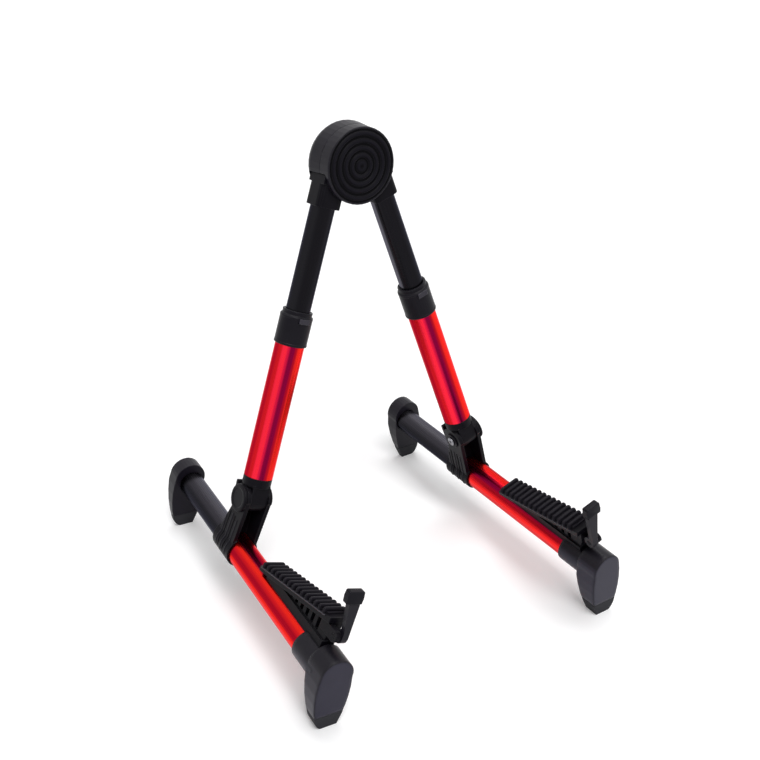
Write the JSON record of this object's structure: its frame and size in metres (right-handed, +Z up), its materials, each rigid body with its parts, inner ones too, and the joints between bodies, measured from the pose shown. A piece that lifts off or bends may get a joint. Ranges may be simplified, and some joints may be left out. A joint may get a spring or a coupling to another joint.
{
  "type": "folding guitar stand",
  "caption": "Folding A-frame guitar stand: telescopic legs on a round padded hub, folding floor rails with ribbed rising rests and upright front stops.",
  "frame": {"origin": "centre of the footprint on the floor", "axes": "+Z up, -Y towards the player's side where the instrument stands, +X to the right seen from the front"},
  "size_m": [0.31, 0.3014, 0.3924],
  "materials": {
    "black_plastic": "fine moulded grain",
    "black_tube": "black anodised, satin",
    "red_tube": "red anodised, bright with lengthwise streaks",
    "black_rubber": "soft matte",
    "grey_rubber": "soft matte",
    "bright_steel": "bright plated"
  },
  "bodies": {
    "hub": {"hub_rear_shell": "black_plastic", "hub_front_cover": "black_plastic", "hub_pad": "black_rubber", "left_pivot_pin": "bright_steel", "right_pivot_pin": "bright_steel", "hub_screw": "bright_steel"},
    "left_leg": {"left_leg_yoke": "black_plastic", "left_upper_tube": "black_tube", "left_guide_bush": "black_plastic"},
    "left_lower_leg": {"left_collar": "black_plastic", "left_lower_tube": "red_tube", "left_leg_end": "black_plastic"},
    "left_button": {"left_lock_button": "black_plastic"},
    "left_rail": {"left_hinge_bracket": "black_plastic", "left_hinge_bolt": "bright_steel", "left_hinge_washer": "black_plastic", "left_hinge_knob": "black_plastic", "left_rail_front_tube": "red_tube", "left_rail_rear_tube": "black_tube", "left_front_foot": "black_plastic", "left_front_tread": "grey_rubber", "left_rear_foot": "black_plastic", "left_rear_tread": "grey_rubber", "left_arm": "black_plastic", "left_arm_pad": "black_rubber", "left_hook_pin": "black_plastic"},
    "left_stop": {"left_hook": "black_plastic", "left_hook_tip": "black_rubber"},
    "right_leg": {"right_leg_yoke": "black_plastic", "right_upper_tube": "black_tube", "right_guide_bush": "black_plastic"},
    "right_lower_leg": {"right_collar": "black_plastic", "right_lower_tube": "red_tube", "right_leg_end": "black_plastic"},
    "right_button": {"right_lock_button": "black_plastic"},
    "right_rail": {"right_hinge_bracket": "black_plastic", "right_hinge_bolt": "bright_steel", "right_hinge_washer": "black_plastic", "right_hinge_knob": "black_plastic", "right_rail_front_tube": "red_tube", "right_rail_rear_tube": "black_tube", "right_front_foot": "black_plastic", "right_front_tread": "grey_rubber", "right_rear_foot": "black_plastic", "right_rear_tread": "grey_rubber", "right_arm": "black_plastic", "right_arm_pad": "black_rubber", "right_hook_pin": "black_plastic"},
    "right_stop": {"right_hook": "black_plastic", "right_hook_tip": "black_rubber"}
  },
  "joints": [
    {"name": "left_leg_spread", "type": "hinge", "parent": "hub", "child": "left_leg", "pos_m": [-0.0175, 0.0822, 0.3586], "axis": [0, -0.9842, 0.1771], "range_deg": [0, 16]},
    {"name": "left_leg_slide", "type": "slide", "parent": "left_leg", "child": "left_lower_leg", "axis": [0.3256, 0.1674, 0.9306], "range_m": [0, 0.08]},
    {"name": "left_button_press", "type": "slide", "parent": "left_lower_leg", "child": "left_button", "axis": [0, 0.9842, -0.1771], "range_m": [0, 0.001], "stiffness_N_per_m": 400},
    {"name": "left_rail_fold", "type": "hinge", "parent": "left_lower_leg", "child": "left_rail", "pos_m": [-0.11126, 0.03398, 0.09059], "axis": [-0.9455, 0.0577, 0.3204], "range_deg": [0, 80]},
    {"name": "left_stop_fold", "type": "hinge", "parent": "left_rail", "child": "left_stop", "pos_m": [-0.12666, -0.1353, 0.07562], "axis": [0.9455, -0.0577, -0.3204], "range_deg": [0, 88]},
    {"name": "right_leg_spread", "type": "hinge", "parent": "hub", "child": "right_leg", "pos_m": [0.0175, 0.0822, 0.3586], "axis": [0, 0.9842, -0.1771], "range_deg": [0, 16]},
    {"name": "right_leg_slide", "type": "slide", "parent": "right_leg", "child": "right_lower_leg", "axis": [-0.3256, 0.1674, 0.9306], "range_m": [0, 0.08]},
    {"name": "right_button_press", "type": "slide", "parent": "right_lower_leg", "child": "right_button", "axis": [0, 0.9842, -0.1771], "range_m": [0, 0.001], "stiffness_N_per_m": 400},
    {"name": "right_rail_fold", "type": "hinge", "parent": "right_lower_leg", "child": "right_rail", "pos_m": [0.11126, 0.03398, 0.09059], "axis": [-0.9455, -0.0577, -0.3204], "range_deg": [0, 80]},
    {"name": "right_stop_fold", "type": "hinge", "parent": "right_rail", "child": "right_stop", "pos_m": [0.12666, -0.1353, 0.07562], "axis": [0.9455, 0.0577, 0.3204], "range_deg": [0, 88]}
  ],
  "couplings": [
    {"joint": "right_leg_spread", "follows": "left_leg_spread", "ratio": 1}
  ]
}
